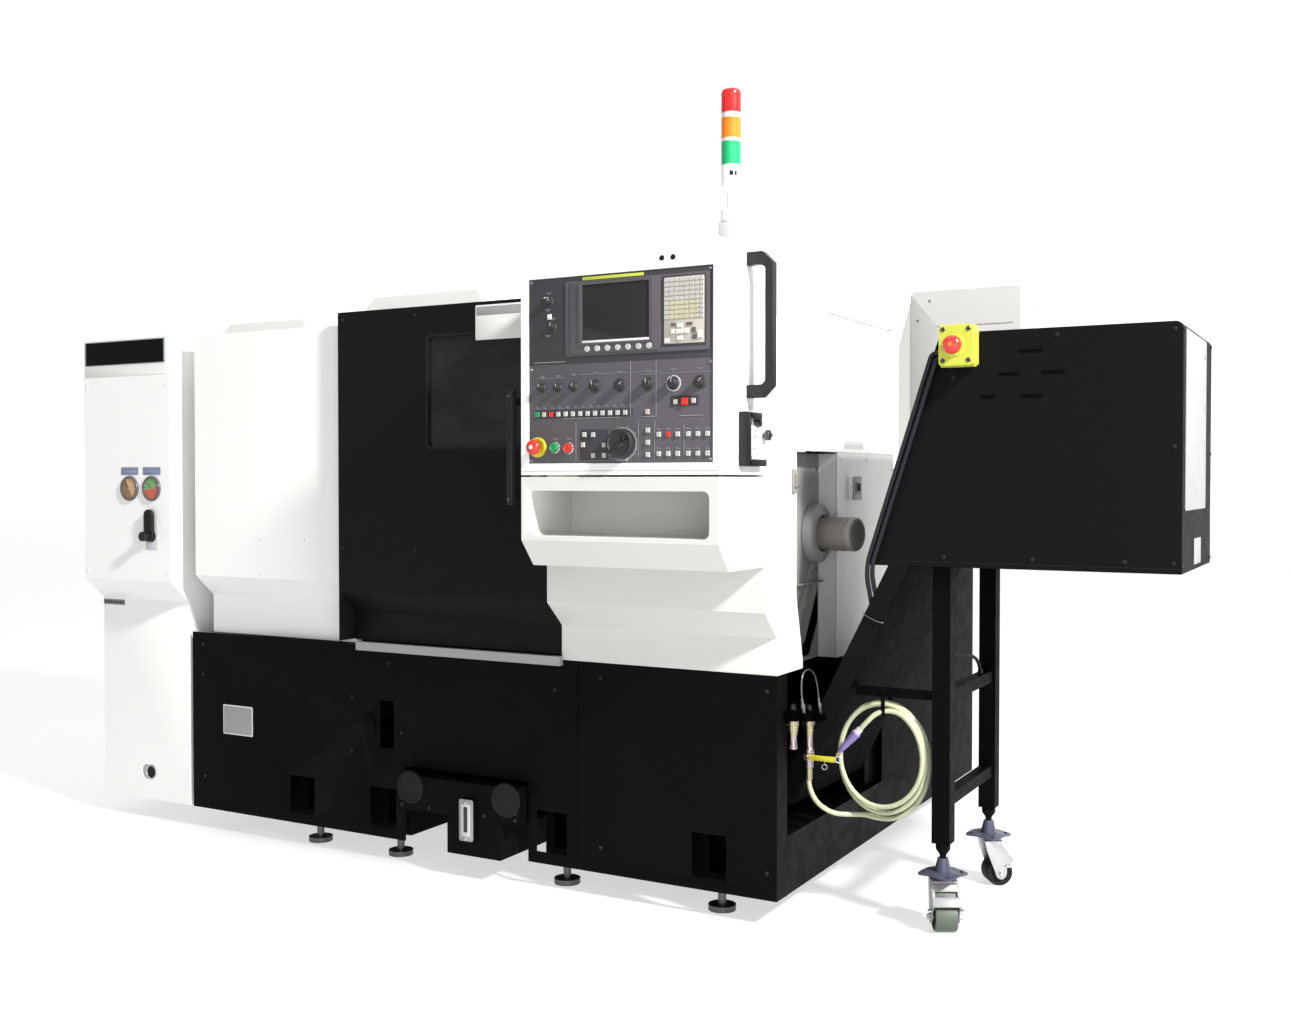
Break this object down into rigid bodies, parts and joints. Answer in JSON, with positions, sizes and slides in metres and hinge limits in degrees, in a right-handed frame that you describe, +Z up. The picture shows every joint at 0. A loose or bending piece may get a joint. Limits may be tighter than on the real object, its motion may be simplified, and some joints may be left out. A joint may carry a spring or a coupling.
{
  "type": "cnc turning lathe",
  "caption": "Slant-bed turning lathe in a sheet-metal enclosure with sliding door, swivelling operator panel, signal tower and inclined chip conveyor.",
  "frame": {"origin": "floor point under the front right levelling foot", "axes": "+X to the machine's right, along its length; +Y from the operator's front to the back; +Z up"},
  "size_m": [3.705, 2.329, 2.239],
  "materials": {
    "white_paint": "satin powder coat",
    "black_paint": "fine textured powder coat",
    "grey_paint": "satin paint",
    "panel_grey": "fine textured paint with printed key fields",
    "frame_cast": "painted casting",
    "ground_steel": "ground",
    "sheet_steel": "rolled stainless sheet",
    "dark_steel": "blackened and ground",
    "zinc_steel": "zinc plated",
    "window_glass": "dark laminated safety glass",
    "black_plastic": "moulded",
    "red_plastic": "moulded, satin",
    "green_plastic": "moulded, satin",
    "yellow_paint": "satin paint",
    "warm_grey": "satin paint",
    "hose_plastic": "translucent yellow green tube",
    "grey_rubber": "ribbed sheath",
    "wheel_rubber": "solid tread",
    "brass_fitting": "turned",
    "purple_plastic": "anodised look plastic",
    "lamp_plastic": "red, amber and green lenses over a pale stem",
    "pale_grey": "moulded dial cases"
  },
  "bodies": {
    "machine": {"leveling_feet": "zinc_steel", "base_skirts": "black_paint", "base_frame": "frame_cast", "bed_casting": "frame_cast", "headstock": "frame_cast", "guide_rails": "ground_steel", "left_end_cover": "white_paint", "left_cover": "white_paint", "right_cover": "white_paint", "roof_panel": "white_paint", "roof_boxes": "white_paint", "tail_hood": "white_paint", "side_recess_panel": "grey_paint", "tail_motor": "warm_grey", "rear_cover": "white_paint", "rear_cabinet": "white_paint", "work_area_lining": "sheet_steel", "door_sill": "sheet_steel", "panel_shelf": "white_paint", "pressure_gauges": "pale_grey", "conveyor_casing": "black_paint", "conveyor_gearmotor": "warm_grey", "conveyor_frame": "black_paint", "caster_mounts": "zinc_steel", "conveyor_estop_box": "yellow_paint", "conveyor_conduits": "grey_rubber", "air_manifold": "brass_fitting", "air_hose": "hose_plastic", "air_hose_coil": "hose_plastic", "air_gun": "purple_plastic"},
    "door": {"door_panel": "black_paint", "door_window": "window_glass", "door_handle": "black_plastic"},
    "control_panel": {"panel_housing": "white_paint", "operator_panel": "panel_grey", "panel_grab_handle": "black_plastic", "signal_tower": "lamp_plastic"},
    "panel_estop": {"panel_estop_button": "red_plastic"},
    "cycle_start": {"cycle_start_button": "green_plastic"},
    "feed_hold": {"feed_hold_button": "red_plastic"},
    "dial": {"hand_dial": "black_plastic"},
    "work_spindle": {"spindle": "ground_steel", "chuck_body": "ground_steel"},
    "jaw_1": {"chuck_jaw_1": "dark_steel"},
    "jaw_2": {"chuck_jaw_2": "dark_steel"},
    "jaw_3": {"chuck_jaw_3": "dark_steel"},
    "feed_screw": {"ball_screw": "ground_steel"},
    "saddle": {"carriage": "frame_cast"},
    "cross": {"cross_slide": "frame_cast"},
    "turret": {"turret_disc": "dark_steel"},
    "tail": {"tailstock": "frame_cast"},
    "quill": {"tailstock_quill": "ground_steel"},
    "tank": {"coolant_tank": "black_paint"},
    "conveyor_estop": {"conveyor_estop_button": "red_plastic"},
    "fork_front": {"caster_fork_front": "zinc_steel"},
    "fork_rear": {"caster_fork_rear": "zinc_steel"},
    "wheel_front": {"caster_wheel_front": "wheel_rubber"},
    "wheel_rear": {"caster_wheel_rear": "wheel_rubber"},
    "main_switch": {"main_switch_handle": "red_plastic"},
    "air_valve": {"air_valve_lever": "yellow_paint"}
  },
  "joints": [
    {"name": "door_slide", "type": "slide", "parent": "machine", "child": "door", "axis": [-1, 0, 0], "range_m": [0, 0.65]},
    {"name": "panel_swing", "type": "hinge", "parent": "machine", "child": "control_panel", "pos_m": [-0.352, -0.417, 1.24], "axis": [0, 0, 1], "range_deg": [-90, 0]},
    {"name": "panel_estop_press", "type": "slide", "parent": "control_panel", "child": "panel_estop", "axis": [0, 1, 0], "range_m": [0, 0.006], "stiffness_N_per_m": 600},
    {"name": "cycle_start_press", "type": "slide", "parent": "control_panel", "child": "cycle_start", "axis": [0, 1, 0], "range_m": [0, 0.003], "stiffness_N_per_m": 500},
    {"name": "feed_hold_press", "type": "slide", "parent": "control_panel", "child": "feed_hold", "axis": [0, 1, 0], "range_m": [0, 0.003], "stiffness_N_per_m": 500},
    {"name": "hand_dial_turn", "type": "hinge", "parent": "control_panel", "child": "dial", "pos_m": [-0.07, -0.45, 1.32], "axis": [0, 1, 0], "continuous": true},
    {"name": "spindle_turn", "type": "hinge", "parent": "machine", "child": "work_spindle", "pos_m": [-1.3, 0.342, 1.06], "axis": [1, 0, 0], "continuous": true},
    {"name": "jaw_1_slide", "type": "slide", "parent": "work_spindle", "child": "jaw_1", "axis": [0, 0, 1], "range_m": [-0.003, 0.006]},
    {"name": "jaw_2_slide", "type": "slide", "parent": "work_spindle", "child": "jaw_2", "axis": [0, -0.866, -0.5], "range_m": [-0.003, 0.006]},
    {"name": "jaw_3_slide", "type": "slide", "parent": "work_spindle", "child": "jaw_3", "axis": [0, 0.866, -0.5], "range_m": [-0.003, 0.006]},
    {"name": "carriage_slide", "type": "slide", "parent": "machine", "child": "saddle", "axis": [1, 0, 0], "range_m": [-0.32, 0.06]},
    {"name": "ball_screw_turn", "type": "hinge", "parent": "machine", "child": "feed_screw", "pos_m": [-0.6, 0.48696, 0.91504], "axis": [1, 0, 0], "range_deg": [-5800, 1100]},
    {"name": "cross_slide_feed", "type": "slide", "parent": "saddle", "child": "cross", "axis": [0, -0.7071, -0.7071], "range_m": [-0.08, 0.055]},
    {"name": "turret_index", "type": "hinge", "parent": "cross", "child": "turret", "pos_m": [-0.82, 0.49756, 1.21556], "axis": [1, 0, 0], "continuous": true},
    {"name": "tailstock_slide", "type": "slide", "parent": "machine", "child": "tail", "axis": [-1, 0, 0], "range_m": [0, 0.06]},
    {"name": "quill_slide", "type": "slide", "parent": "tail", "child": "quill", "axis": [-1, 0, 0], "range_m": [0, 0.08]},
    {"name": "tank_pull", "type": "slide", "parent": "machine", "child": "tank", "axis": [0, -1, 0], "range_m": [0, 0.6]},
    {"name": "conveyor_estop_press", "type": "slide", "parent": "machine", "child": "conveyor_estop", "axis": [0, 1, 0], "range_m": [0, 0.006], "stiffness_N_per_m": 600},
    {"name": "caster_swivel_front", "type": "hinge", "parent": "machine", "child": "fork_front", "pos_m": [0.599, 0.147, 0.142], "axis": [0, 0, 1], "continuous": true},
    {"name": "caster_swivel_rear", "type": "hinge", "parent": "machine", "child": "fork_rear", "pos_m": [0.599, 0.617, 0.142], "axis": [0, 0, 1], "continuous": true},
    {"name": "caster_roll_front", "type": "hinge", "parent": "fork_front", "child": "wheel_front", "pos_m": [0.61121, 0.12404, 0.04], "axis": [0.8829, 0.4695, 0], "continuous": true},
    {"name": "caster_roll_rear", "type": "hinge", "parent": "fork_rear", "child": "wheel_rear", "pos_m": [0.6203, 0.63191, 0.04], "axis": [-0.5736, 0.8192, 0], "continuous": true},
    {"name": "main_switch_turn", "type": "hinge", "parent": "machine", "child": "main_switch", "pos_m": [-2.14, -0.19, 1.03], "axis": [0, 1, 0], "range_deg": [0, 90]},
    {"name": "air_valve_turn", "type": "hinge", "parent": "machine", "child": "air_valve", "pos_m": [0.234, 0.055, 0.45], "axis": [0, 1, 0], "range_deg": [0, 90]}
  ],
  "couplings": [
    {"joint": "jaw_2_slide", "follows": "jaw_1_slide", "ratio": 1},
    {"joint": "jaw_3_slide", "follows": "jaw_1_slide", "ratio": 1},
    {"joint": "ball_screw_turn", "follows": "carriage_slide", "rad_per_m": 314.16}
  ]
}
